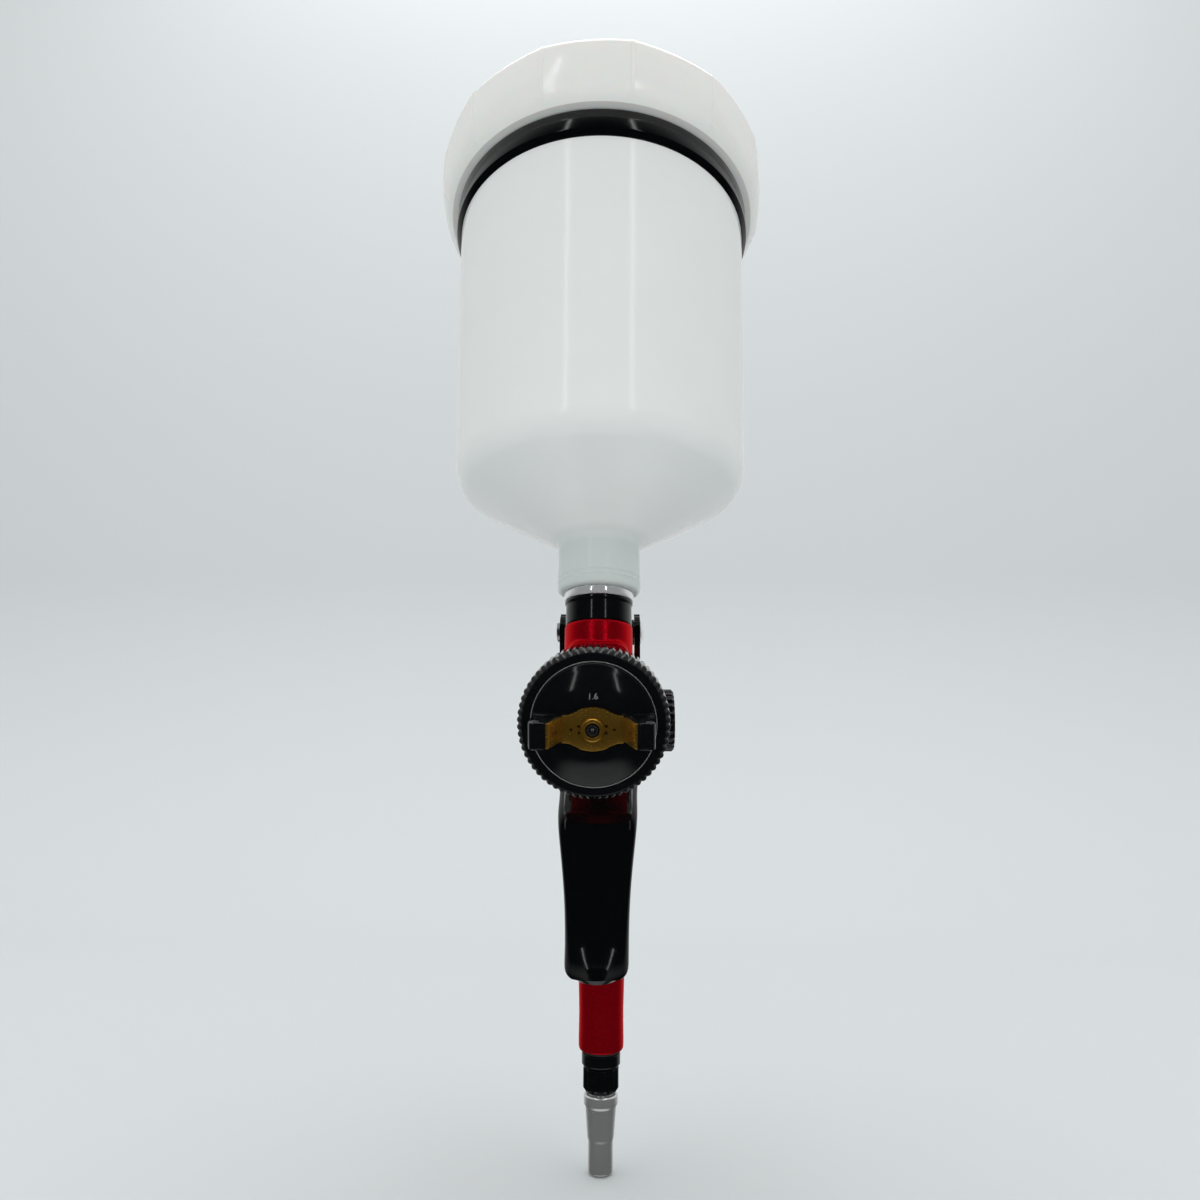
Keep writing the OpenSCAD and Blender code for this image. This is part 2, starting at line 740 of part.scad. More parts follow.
module needle_sleeve() {
    color([0.7, 0.71, 0.73]) at_head() difference() {
        union() {
            rod(sleeve_r, block_front - 9, web_rear - 0.9);
            rod(needle_bore_r - 0.3, block_front - 9, block_front - 6.5);
            rod(sleeve_r - 0.4, block_rear + 14, block_front - 8);
        }
        rod(needle_r + fix_gap, block_rear + 13, web_rear);
    }
}

module needle_spring() {
    color([0.6, 0.6, 0.62]) at_head(block_rear + 6)
        coil(knob_shaft_r + 0.65, spring_wire_r, block_front - block_rear - 15, 6);
}

module knob_guide() {
    color([0.78, 0.79, 0.8]) at_head() difference() {
        union() {
            rod(needle_bore_r - fix_gap, block_rear, block_rear + 6);
            rod(needle_bore_r + 1.6, block_rear - 2, block_rear);
            hexagon(2 * needle_bore_r + 1.5, block_rear - 5, block_rear - 2);
        }
        rod(knob_shaft_r + run_gap, block_rear - 6, block_rear + 7);
    }
}

module fluid_knob() {
    r = fluid_knob_d / 2;
    rear = knob_front - fluid_knob_len;
    flutes = 24;
    color([0.03, 0.03, 0.035]) at_head() difference() {
        union() {
            rod(knob_shaft_r, knob_front - 2, block_rear + 8);
            rod(r, rear + 1, knob_front - 0.6);
            cone(r - 1, r, rear, rear + 1);
            cone(r, r - 0.6, knob_front - 0.6, knob_front);
        }
        rod(needle_r + 0.6, block_rear + 2, block_rear + 9);
        rod(3.4, rear - 1, rear + 1.2);
        for (i = [0:flutes - 1]) rotate(360 * i / flutes) translate([r + 0.3, 0, 0])
            rod(0.8, rear - 1, knob_front - 1);
    }
}

// ---------------------------------------------------------------- air valve

module valve_guide() {
    color([0.78, 0.79, 0.8]) at_valve() difference() {
        union() {
            rod(valve_bore_r - fix_gap, block_front - 3, block_front);
            hexagon(9.6, block_front, block_front + 2);
        }
        rod(valve_stem_r + run_gap, block_front - 4, block_front + 3);
    }
}

module valve_seat() {
    color([0.9, 0.9, 0.88]) at_valve() tube(valve_bore_r - fix_gap, 3, block_front - 9, block_front - 6.6);
}

module valve_stem() {
    tip = web_rear - 2 * face_gap;
    color([0.82, 0.83, 0.85]) at_valve() {
        rod(valve_stem_r, block_front - 9.5, tip - 0.7);
        cone(valve_stem_r, valve_stem_r - 0.6, tip - 0.7, tip);
        rod(4.2, block_front - 11.4, block_front - 9);
        rod(valve_stem_r, block_rear + 14, block_front - 11);
    }
}

module valve_spring() {
    color([0.6, 0.6, 0.62]) at_valve(block_rear + 3)
        coil(valve_stem_r + 1.1, spring_wire_r, block_front - block_rear - 14.4, 6);
}

module valve_cap() {
    color([0.03, 0.03, 0.035]) at_valve() difference() {
        union() {
            rod(valve_bore_r - fix_gap, block_rear, block_rear + 7.5);
            rod(valve_bore_r + 0.6, block_rear - 2.4, block_rear);
            cone(valve_bore_r - 0.3, valve_bore_r + 0.6, block_rear - 3.4, block_rear - 2.4);
        }
        rod(3.6, block_rear + 3, block_rear + 9);
        hexagon(5, block_rear - 4, block_rear - 1.4);
    }
}

module passage_plugs() {
    color([0.78, 0.79, 0.8]) at_head() for (s = [-1, 1])
        translate([s * ridge_port[0], ridge_port[1], 0]) difference() {
            rod(1.6 - fix_gap, block_rear, block_rear + 4);
            hexagon(1.5, block_rear - 1, block_rear + 1.6);
        }
}

// ---------------------------------------------------------------- fan control

module fan_bushing() {
    color([0.05, 0.05, 0.055]) at_fan() difference() {
        union() {
            rod(4, 8.2, fan_face);
            hexagon(10, fan_face, fan_face + 1.8);
        }
        rod(1.8 + run_gap, 7, fan_face + 3);
    }
}

module fan_spindle() {
    color([0.75, 0.76, 0.78]) at_fan() difference() {
        union() {
            rod(1.8, 8, fan_face + 2.1 + fan_knob_h);
            cone(1.2, 1.8, 6.9, 8);
        }
        translate([-3, -0.35, fan_face + 1.3 + fan_knob_h]) cube([6, 0.7, 2]);
    }
}

module fan_knob() {
    r = fan_knob_d / 2;
    low = fan_face + 2;
    flutes = 20;
    color([0.03, 0.03, 0.035]) at_fan() difference() {
        union() {
            cone(r - 0.6, r, low, low + 0.6);
            rod(r, low + 0.6, low + fan_knob_h - 0.6);
            cone(r, r - 0.6, low + fan_knob_h - 0.6, low + fan_knob_h);
        }
        rod(1.8 + fix_gap, low - 1, low + fan_knob_h + 1);
        for (i = [0:flutes - 1]) rotate(360 * i / flutes) translate([r + 0.45, 0, 0])
            rod(1, low - 1, low + fan_knob_h + 1);
    }
}

// ---------------------------------------------------------------- trigger

// side view of the trigger, back and up from its pivot: the front edge goes down
function trigger_front() = let (
    a = nozzle_tilt, f = [-cos(a), -sin(a)], u = [-sin(a), cos(a)],
    here = -[pivot_back, pivot_up],
    web = web_rear + trigger_t + 0.2)
    curve([[-6, 1], here + f * (web + 4) + u * 8, here + f * (web + 0.1) + u * 1,
        here + f * web - u * 6, here + f * web - u * 13, here + f * web - u * 19,
        [-4.4, -46], [-14.6, -55], [-15.6, -62], [-14, -trigger_len * 0.8],
        [-15.2, -trigger_len * 0.94], [-19, -trigger_len]]);

function trigger_back(deep) = let (
    a = nozzle_tilt, f = [-cos(a), -sin(a)], u = [-sin(a), cos(a)],
    here = -[pivot_back, pivot_up],
    web = web_rear - deep)
    curve([[-17.6, -trigger_len], [-13, -trigger_len * 0.96], [-7.5, -trigger_len * 0.86],
        [-4.5, -62], [1.2, -50], here + f * web - u * 17, here + f * web - u * 6,
        here + f * web + u * 4, [6, 1]]);

module trigger_side(deep) {
    polygon(concat(trigger_front(), trigger_back(deep)));
    circle(washer_r + 2);
}

// the part of the side view that lies within the sheet's thickness of the front edge
module trigger_hollow() {
    inner = [for (p = trigger_front()) p + [trigger_t, 0]];
    polygon(concat([[-6.5, 12]], inner, [[40, -trigger_len - 5], [40, 12]]));
}

// front view: half the trigger as [x, drop from the pivot]
function trigger_edge(in) = let (bend = trigger_bend_w / 2, tip = trigger_tip_w / 2) concat(
    [[strap_out - in, 20], [strap_out - in, -34]],
    curve([[bend + 0.2 - in, -48], [bend - in, -56], [bend - 1.5 - in, -70],
        [bend - 2.2 - in, -trigger_len * 0.84], [tip - in, -trigger_len * 0.97]], 4));

module trigger_face(in, low) {
    half = trigger_edge(in);
    r = 2.5 - min(in, 1.5);
    tip = trigger_tip_w / 2 - in;
    edge = concat(half, [[tip, low + r]], arc(tip - r, low + r, r, 0, -90, 5));
    polygon(concat(edge, [for (i = [len(edge) - 1:-1:0]) [-edge[i][0], edge[i][1]]]));
}

module trigger_slab(w) {
    translate([-w / 2, 0, 0]) rotate([90, 0, 90]) linear_extrude(w) children();
}

module trigger() {
    wide = 2 * strap_out;
    web_top = -pivot_up + 5;
    color([0.02, 0.02, 0.022]) translate([0, pivot_back - reach, head_z + pivot_up]) difference() {
        intersection() {
            trigger_slab(wide) trigger_side(8);
            translate([0, 40, 0]) rotate([90, 0, 0]) linear_extrude(80) trigger_face(0, -trigger_len);
        }
        // hollow between the straps, behind the web
        intersection() {
            trigger_slab(wide) trigger_hollow();
            translate([0, 40, 0]) rotate([90, 0, 0]) linear_extrude(80)
                trigger_face(trigger_t, -trigger_len - 3);
        }
        // opening over the web
        translate([-trigger_gap / 2, -12, web_top]) cube([trigger_gap, 40, 30]);
        // slot for the needle
        translate([0, 0, -pivot_up]) translate([0, -pivot_back, 0]) rotate([90 + nozzle_tilt, 0, 0])
            translate([0, 0, web_rear - 4]) linear_extrude(12) {
                translate([-2.4, -4.5]) square([4.8, 20]);
                translate([0, -4.5]) circle(2.4);
            }
        translate([-wide, 0, 0]) rotate([0, 90, 0]) rod(pivot_r + run_gap, 0, 2 * wide);
    }
}

module pivot_washers() {
    thick = trigger_gap / 2 - ridge_w / 2;
    color([0.05, 0.05, 0.055]) for (x = [-trigger_gap / 2, ridge_w / 2]) at_pivot(x)
        tube(washer_r, pivot_r + fix_gap, 0, thick);
}

module pivot_pin() {
    color([0.85, 0.86, 0.88]) {
        at_pivot() rod(pivot_r, -strap_out - 1.1, strap_out + 0.1);
        at_pivot(strap_out + 0.1) difference() {
            intersection() {
                rod(pivot_r + 2.15, 0, 1.7);
                translate([0, 0, -4.6]) sphere(r = 6.1);
            }
            translate([-4, -0.4, 1]) cube([8, 0.8, 2]);
        }
    }
}

module pivot_clip() {
    color([0.05, 0.05, 0.055]) at_pivot(-strap_out - 0.9) difference() {
        tube(pivot_r + 1.25, pivot_r + fix_gap, 0, 0.8);
        translate([0, -1.1, -1]) cube([4, 2.2, 3]);
    }
}

gun_body();
neck_adapter();
neck_ring();
inlet_seal();
inlet_fitting();
air_plug();
cup();
cup_strainer();
cup_collar();
lid();
lid_gasket();
lid_vent();
fluid_tip();
air_baffle();
cap_seal();
air_cap();
air_cap_core();
air_cap_ring();
cap_ring_clip();
needle();
needle_packing();
packing_nut();
needle_collar();
needle_sleeve();
needle_spring();
knob_guide();
fluid_knob();
valve_guide();
valve_seat();
valve_stem();
valve_spring();
valve_cap();
passage_plugs();
fan_bushing();
fan_spindle();
fan_knob();
trigger();
pivot_washers();
pivot_pin();
pivot_clip();
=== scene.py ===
import json
import math

import bmesh
import bpy
from mathutils import Matrix, Vector, noise


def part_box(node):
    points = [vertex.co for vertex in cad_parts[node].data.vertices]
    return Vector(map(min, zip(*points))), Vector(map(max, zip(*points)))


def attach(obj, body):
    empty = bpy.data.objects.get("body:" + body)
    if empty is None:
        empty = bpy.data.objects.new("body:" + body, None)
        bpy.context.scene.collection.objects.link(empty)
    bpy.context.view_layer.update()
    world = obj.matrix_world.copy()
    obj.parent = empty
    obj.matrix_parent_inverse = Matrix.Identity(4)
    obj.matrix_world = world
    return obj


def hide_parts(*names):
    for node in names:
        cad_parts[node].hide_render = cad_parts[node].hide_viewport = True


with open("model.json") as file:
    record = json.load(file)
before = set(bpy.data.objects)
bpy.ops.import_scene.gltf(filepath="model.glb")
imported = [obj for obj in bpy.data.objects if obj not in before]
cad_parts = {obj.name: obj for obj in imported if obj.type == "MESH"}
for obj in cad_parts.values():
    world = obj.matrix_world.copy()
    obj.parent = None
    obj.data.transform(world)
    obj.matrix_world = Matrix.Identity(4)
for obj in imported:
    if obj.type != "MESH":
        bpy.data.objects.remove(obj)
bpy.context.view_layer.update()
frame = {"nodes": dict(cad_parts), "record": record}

MM = 0.001
SCENE = bpy.context.scene


# ---------------------------------------------------------------- places

def span(node, axis=2):
    """The lowest and highest place of a node along one axis, in mm."""
    low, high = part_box(node)
    return low[axis] / MM, high[axis] / MM


TILT = math.radians(18)
FORWARD = Vector((0, -math.cos(TILT), -math.sin(TILT)))
UPWARD = Vector((0, -math.sin(TILT), math.cos(TILT)))
CUP_Y = sum(span("cup", 1)) / 2
RING_REAR, RING_FRONT = 25.2, 39.0
HEAD_Z = 141.2

AT_HANDLE = Matrix.Identity(4)
AT_CUP = Matrix.Translation((0, CUP_Y * MM, 0))
AT_HEAD = Matrix.Translation((0, CUP_Y * MM, HEAD_Z * MM)) @ Matrix.Rotation(math.pi / 2 + TILT, 4, "X")
PIVOT = Vector((0, CUP_Y + 15, HEAD_Z + 22))
AT_FAN = AT_HEAD @ Matrix.Translation((0, -3.9 * MM, 14.9 * MM)) @ Matrix.Rotation(math.pi / 2, 4, "Y")


# ---------------------------------------------------------------- finishes

class Field:
    """A number or colour that varies over a surface. Arithmetic on it adds Math nodes."""

    def __init__(self, finish, socket):
        self.finish, self.socket = finish, socket

    def __add__(self, other):
        return self.finish.math("ADD", self, other)

    def __sub__(self, other):
        return self.finish.math("SUBTRACT", self, other)

    def __rsub__(self, other):
        return self.finish.math("SUBTRACT", other, self)

    def __mul__(self, other):
        return self.finish.math("MULTIPLY", self, other)

    def __pow__(self, other):
        return self.finish.math("POWER", self, other)

    __radd__, __rmul__ = __add__, __mul__


class Finish:
    """One procedural material: a Principled shader and the nodes that feed it."""

    def __init__(self, name, colour, **constants):
        self.material = bpy.data.materials.new(name)
        self.material.use_nodes = True
        self.tree = self.material.node_tree
        self.shader = self.tree.nodes["Principled BSDF"]
        self.colour = colour
        self.set(Base_Color=(*colour, 1), **constants)
        self.place = self.node("TexCoord", "Object")

    def set(self, **values):
        for key, value in values.items():
            self.feed(self.shader.inputs[key.replace("_", " ")], value)

    def feed(self, socket, value):
        if isinstance(value, Field):
            self.tree.links.new(value.socket, socket)
        else:
            socket.default_value = value

    def node(self, kind, out=0, settings=None, **values):
        made = self.tree.nodes.new("ShaderNode" + kind)
        for key, value in (settings or {}).items():
            setattr(made, key, value)
        for key, value in values.items():
            name = int(key[1:]) if key[0] == "n" and key[1:].isdigit() else key.replace("_", " ")
            self.feed(made.inputs[name], value)
        return Field(self, made.outputs[out])

    def math(self, operation, a, b=0.0, clamp=False):
        return self.node("Math", 0, {"operation": operation, "use_clamp": clamp}, n0=a, n1=b)

    def grain(self, size, detail=2.0, roughness=0.5):
        """Noise from 0 to 1 whose lumps are about that many mm across."""
        return self.node("TexNoise", "Fac", Vector=self.place, Scale=1 / (size * MM), Detail=detail,
                         Roughness=roughness)

    def streaks(self, size, along, stretch=30):
        """Fine brushed lines that run along one axis."""
        scale = [1 / (size * MM)] * 3
        scale[along] /= stretch
        squeezed = self.node("VectorMath", 0, {"operation": "MULTIPLY"}, n0=self.place, n1=scale)
        return self.node("TexNoise", "Fac", Vector=squeezed, Scale=1.0, Detail=2.0)

    def tint(self, factor, other):
        """The base colour, mixed with another by a factor."""
        mixed = self.node("Mix", 2, {"data_type": "RGBA"}, n0=factor, n6=(*self.colour, 1), n7=(*other, 1))
        self.set(Base_Color=mixed)

    def bump(self, height, strength, depth=0.1):
        """Relief up to depth mm."""
        self.set(Normal=self.node("Bump", 0, Height=height, Strength=strength, Distance=depth * MM))


def smudges(finish, base, spread=0.08):
    """Roughness that drifts with faint handling marks and fine scratches."""
    cloud = finish.grain(9, 4)
    scratch = finish.math("GREATER_THAN", finish.streaks(0.25, 1, 60), 0.7)
    finish.set(Roughness=cloud * spread + scratch * 0.05 + (base - spread / 2))


def red_anodised():
    f = Finish("red_anodised", (0.46, 0.0015, 0.009), Metallic=0.75, Specular_IOR_Level=0.2,
               Specular_Tint=(1, 0.1, 0.12, 1))
    f.tint(f.grain(1.6, 5), (0.57, 0.004, 0.016))
    smudges(f, 0.27, 0.1)
    f.bump(f.grain(0.22, 3), 0.12, 0.02)
    return f


def black_anodised():
    f = Finish("black_anodised", (0.002, 0.0025, 0.003), Metallic=0.0, Specular_IOR_Level=0.35)
    f.tint(f.grain(2.5, 4), (0.004, 0.0045, 0.005))
    smudges(f, 0.11, 0.06)
    f.bump(f.grain(0.5, 3), 0.05, 0.02)
    return f


def black_gloss_paint():
    f = Finish("black_gloss_paint", (0.0012, 0.0016, 0.002), Specular_IOR_Level=0.35)
    f.tint(f.grain(6, 3), (0.0025, 0.003, 0.0035))
    smudges(f, 0.09, 0.06)
    f.bump(f.grain(1.4, 2), 0.06, 0.03)
    return f


def black_gloss_plastic():
    f = Finish("black_gloss_plastic", (0.001, 0.0015, 0.0018), Specular_IOR_Level=0.33)
    f.tint(f.grain(4, 3), (0.002, 0.0027, 0.003))
    smudges(f, 0.11, 0.05)
    f.bump(f.grain(2.2, 2), 0.05, 0.04)
    return f


def metal(name, colour, darker, rough, lines=0.3, along=2, metallic=1.0):
    f = Finish(name, colour, Metallic=metallic)
    f.tint(f.streaks(lines, along), darker)
    smudges(f, rough, 0.08)
    f.bump(f.streaks(lines * 0.5, along), 0.1, 0.01)
    return f


def cup_plastic():
    f = Finish("cup_plastic", (0.93, 0.955, 0.945), Transmission_Weight=0.2, IOR=1.3, Specular_IOR_Level=0.55)
    cloudy = f.node("Mix", 2, {"data_type": "RGBA"}, n0=f.grain(14, 4), n6=(0.93, 0.955, 0.945, 1),
                    n7=(0.9, 0.93, 0.915, 1))
    # painted shade: below the neck top the cup's colour fades to a darker, greener tint that stands in for the
    # shade cast by the dark parts inside and the weaker light reaching the neck
    height = f.node("SeparateXYZ", 2, None, n0=f.place)
    neck = f.math("MULTIPLY", (span("cup")[0] + 17) * MM - height, 1 / (4 * MM), clamp=True)
    f.set(Base_Color=f.node("Mix", 2, {"data_type": "RGBA"}, n0=neck, n6=cloudy, n7=(0.7, 0.765, 0.745, 1)))
    smudges(f, 0.12, 0.04)
    f.bump(f.grain(0.9, 3) * 0.5 + f.grain(5, 2) * 0.5, 0.3, 0.06)
    return f


def strainer_plastic():
    f = Finish("strainer_plastic", (0.55, 0.58, 0.6), Transmission_Weight=0.2, IOR=1.4)
    f.tint(f.grain(3, 3), (0.48, 0.52, 0.54))
    smudges(f, 0.35, 0.08)
    f.bump(f.grain(0.6, 3), 0.1, 0.04)
    return f


def lid_plastic():
    f = Finish("lid_plastic", (0.8, 0.81, 0.79), Subsurface_Weight=0.3, Subsurface_Scale=0.006,
               Specular_IOR_Level=0.5)
    f.tint(f.grain(16, 4), (0.77, 0.78, 0.75))
    smudges(f, 0.13, 0.05)
    f.bump(f.grain(0.9, 3) * 0.5 + f.grain(6, 2) * 0.5, 0.3, 0.06)
    return f


def white_seal():
    f = Finish("white_seal", (0.78, 0.78, 0.75))
    f.tint(f.grain(2, 3), (0.7, 0.7, 0.66))
    smudges(f, 0.5, 0.1)
    f.bump(f.grain(0.4, 3), 0.1, 0.03)
    return f


def black_rubber():
    f = Finish("black_rubber", (0.02, 0.02, 0.021))
    f.tint(f.grain(1.5, 3), (0.03, 0.03, 0.031))
    smudges(f, 0.6, 0.1)
    f.bump(f.grain(0.3, 4), 0.2, 0.04)
    return f


FINISHES = {
    "red_anodised": red_anodised(),
    "black_anodised": black_anodised(),
    "black_gloss_paint": black_gloss_paint(),
    "black_gloss_plastic": black_gloss_plastic(),
    "polished_steel": metal("polished_steel", (0.88, 0.89, 0.9), (0.8, 0.81, 0.83), 0.12, metallic=0.6),
    "nickel_plate": metal("nickel_plate", (0.72, 0.72, 0.71), (0.62, 0.62, 0.62), 0.22, metallic=0.75),
    "stainless": metal("stainless", (0.62, 0.62, 0.63), (0.5, 0.5, 0.52), 0.24, 0.2),
    "spring_steel": metal("spring_steel", (0.5, 0.5, 0.52), (0.4, 0.4, 0.42), 0.3),
    "gold_brass": metal("gold_brass", (0.62, 0.36, 0.06), (0.5, 0.27, 0.035), 0.24, 0.25, 0, metallic=0.92),
    "cup_plastic": cup_plastic(),
    "strainer_plastic": strainer_plastic(),
    "lid_plastic": lid_plastic(),
    "white_seal": white_seal(),
    "black_rubber": black_rubber(),
}
SLOT = {part["node"]: part["material_slot"] for part in frame["record"]["subparts"]}
BODY = {node: body for body, nodes in frame["record"]["behaviour"]["bodies"].items() for node in nodes}


def finish(piece, slot):
    piece.data.materials.clear()
    piece.data.materials.append(FINISHES[slot].material)


# ---------------------------------------------------------------- making pieces

def shade(mesh, angle=30):
    """Smooth faces that break at edges sharper than the angle."""
    mesh.polygons.foreach_set("use_smooth", [True] * len(mesh.polygons))
    mesh.set_sharp_from_angle(angle=math.radians(angle))


def piece(name, mesh, node, stands_for=True, slot=None, angle=30):
    """Puts a mesh in the scene in a node's finish and on its body, in that node's place."""
    shade(mesh, angle)
    made = bpy.data.objects.new(name, mesh)
    SCENE.collection.objects.link(made)
    finish(made, slot or SLOT[node])
    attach(made, BODY[node])
    if stands_for:
        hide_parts(node)
    return made


def rounded(outline, steps=3):
    """A closed outline of (x, y, corner radius) with its corners turned into arcs."""
    points = []
    for i, (x, y, radius) in enumerate(outline):
        here = Vector((x, y))
        back = Vector(outline[i - 1][:2]) - here
        ahead = Vector(outline[(i + 1) % len(outline)][:2]) - here
        half = back.angle(ahead) / 2
        if not radius or half > 1.5:
            points.append(here)
            continue
        cut = min(radius / math.tan(half), 0.48 * min(back.length, ahead.length))
        centre = here + (back.normalized() + ahead.normalized()).normalized() * (cut / math.cos(half))
        start, end = here + back.normalized() * cut - centre, here + ahead.normalized() * cut - centre
        turn = start.angle_signed(end)
        for k in range(steps + 1):
            a = -turn * k / steps
            points.append(centre + Vector((start.x * math.cos(a) - start.y * math.sin(a),
                                           start.x * math.sin(a) + start.y * math.cos(a))))
    return points


def smooth_line(points, steps=6):
    """A smooth curve through points, by Catmull-Rom."""
    line = []
    last = len(points) - 1
    for i in range(last):
        a, b, c, d = (Vector(points[j]) for j in (max(i - 1, 0), i, i + 1, min(i + 2, last)))
        for k in range(steps):
            t = k / steps
            line.append(0.5 * (2 * b + (c - a) * t + (2 * a - 5 * b + 4 * c - d) * t * t
                               + (3 * b - a - 3 * c + d) * t ** 3))
    line.append(Vector(points[last]))
    return line


def turned(name, outline, place, angles=144, radius=None):
    """A mesh turned from a closed outline of (radius, height) in mm round an axis."""
    if isinstance(angles, int):
        angles = [math.tau * i / angles for i in range(angles)]
    bm = bmesh.new()
    rings = []
    for a in angles:
        ring = []
        for x, y in outline:
            r = radius(x, y, a) if radius else x
            ring.append(bm.verts.new((r * MM * math.cos(a), r * MM * math.sin(a), y * MM)))
        rings.append(ring)
    count = len(outline)
    for i, ring in enumerate(rings):
        after = rings[(i + 1) % len(rings)]
        for k in range(count):
            m = (k + 1) % count
            if abs(outline[k][0]) + abs(outline[m][0]) > 1e-6:
                bm.faces.new((ring[k], after[k], after[m], ring[m]))
    bmesh.ops.remove_doubles(bm, verts=bm.verts, dist=1e-7)
    bmesh.ops.dissolve_degenerate(bm, edges=bm.edges, dist=1e-7)
    bmesh.ops.recalc_face_normals(bm, faces=bm.faces)
    return to_mesh(name, bm, place)


def to_mesh(name, bm, place):
    mesh = bpy.data.meshes.new(name)
    bmesh.ops.transform(bm, matrix=place, verts=bm.verts)
    bm.to_mesh(mesh)
    bm.free()
    return mesh


def slab(name, outline, low, high, place, edge=0.15):
    """A mesh with a flat outline, from low to high in mm, with its edges eased."""
    bm = bmesh.new()
    face = bm.faces.new([bm.verts.new((x * MM, y * MM, low * MM)) for x, y in outline])
    risen = bmesh.ops.extrude_face_region(bm, geom=[face])
    bmesh.ops.translate(bm, vec=(0, 0, (high - low) * MM),
                        verts=[v for v in risen["geom"] if isinstance(v, bmesh.types.BMVert)])
    bmesh.ops.recalc_face_normals(bm, faces=bm.faces)
    if edge:
        sharp = [e for e in bm.edges if e.calc_face_angle(0) > 0.6]
        bmesh.ops.bevel(bm, geom=sharp, offset=edge * MM, segments=2, profile=0.5, affect="EDGES")
    return to_mesh(name, bm, place)


def flutes(count, depth, width, outer, from_z=-1e9, to_z=1e9):
    """A radius rule that cuts round flutes in what lies outside `outer` mm."""
    def rule(r, z, a):
        if r < outer or not from_z <= z <= to_z:
            return r
        off = (a * count / math.tau + 0.5) % 1 - 0.5
        return r - depth * max(0.0, 1 - (off / width) ** 2) ** 0.5
    return rule


def hidden_copy(node):
    """A node's mesh, copied to be worked on."""
    return frame["nodes"][node].data.copy()


def remeshed(name, meshes, voxel, smoothing):
    """One closed skin round overlapping meshes, with its edges eased."""
    bm = bmesh.new()
    for mesh in meshes:
        bm.from_mesh(mesh)
    bmesh.ops.remove_doubles(bm, verts=bm.verts, dist=1e-7)
    joined = bpy.data.meshes.new(name + "_solid")
    bm.to_mesh(joined)
    bm.free()
    work = bpy.data.objects.new(name + "_work", joined)
    SCENE.collection.objects.link(work)
    shell = work.modifiers.new("skin", "REMESH")
    shell.mode, shell.voxel_size = "VOXEL", voxel * MM
    ease = work.modifiers.new("ease", "SMOOTH")
    ease.factor, ease.iterations = 0.5, smoothing
    mesh = bpy.data.meshes.new_from_object(work.evaluated_get(bpy.context.evaluated_depsgraph_get()))
    bpy.data.objects.remove(work)
    mesh.name = name
    return mesh


# ---------------------------------------------------------------- cup, collar and lid

CUP_SEAT, MOUTH = span("cup")
COLLAR_LOW, COLLAR_TOP = span("cup_collar")
LID_LOW, LID_TOP = span("lid")
RING_LOW = span("neck_ring")[0]
CUP_R = span("cup", 0)[1]
NECK_R, THREAD_R = 12.25, 8.05
DRAFT, WALL, SHOULDER_R = 3.0, 1.6, 8.0
CONE_ANGLE = math.radians(29)
NECK_TOP = CUP_SEAT + 15


def cup_wall(inset):
    """The cup's outline from the neck up to the collar, moved in by the inset."""
    low_r = CUP_R - DRAFT
    centre = low_r - SHOULDER_R
    top_r = centre + SHOULDER_R * math.sin(CONE_ANGLE)
    centre_z = NECK_TOP + (top_r - NECK_R) * math.tan(CONE_ANGLE) + SHOULDER_R * math.cos(CONE_ANGLE)
    r = SHOULDER_R - inset
    arc = [(centre + r * math.sin(a), centre_z - r * math.cos(a))
           for a in (CONE_ANGLE + (math.pi / 2 - CONE_ANGLE) * k / 14 for k in range(15))]
    return arc + [(CUP_R - inset, COLLAR_LOW)]


def cup():
    lip = [(THREAD_R, CUP_SEAT, 0.3), (NECK_R - 0.2, CUP_SEAT, 1.3), (NECK_R + 0.1, CUP_SEAT + 2.0, 0.2),
           (NECK_R - 0.12, CUP_SEAT + 2.2, 0.1), (NECK_R - 0.12, CUP_SEAT + 2.6, 0.1),
           (NECK_R + 0.05, CUP_SEAT + 2.8, 0.1), (NECK_R + 0.05, CUP_SEAT + 3.6, 0.1),
           (NECK_R - 0.12, CUP_SEAT + 3.8, 0.1), (NECK_R - 0.12, CUP_SEAT + 4.1, 0.1),
           (NECK_R, CUP_SEAT + 4.3, 0.1), (NECK_R - 0.1, NECK_TOP, 2.5)]
    outer = cup_wall(0)
    inner = cup_wall(WALL)[::-1]
    throat = span("cup_strainer", 0)[1] + 0.1
    spigot = span("neck_adapter")[1] + 0.2
    rim = [(CUP_R - 1, COLLAR_LOW, 0.2), (CUP_R - 1, MOUTH, 0.5), (CUP_R - 2.6, MOUTH, 0.5),
           (CUP_R - 2.6, COLLAR_LOW + 1, 0.5)]
    rest = [(throat, NECK_TOP + WALL, 0.4), (throat, spigot, 0), (THREAD_R, spigot, 0)]
    outline = rounded(lip + [(x, y, 0) for x, y in outer] + rim + [(x, y, 0) for x, y in inner] + rest, 4)
    piece("cup_shell", turned("cup_shell", outline, AT_CUP, 192), "cup")


def cup_collar():
    inner, outer = CUP_R - 0.97, CUP_R + 1.5
    outline = rounded([(inner, COLLAR_LOW, 0), (outer - 1.3, COLLAR_LOW, 0.3), (outer, COLLAR_LOW + 1.5, 0.4),
                       (outer, COLLAR_TOP, 0.5), (inner, COLLAR_TOP, 0)])
    piece("collar_band", turned("collar_band", outline, AT_CUP, 192), "cup_collar")


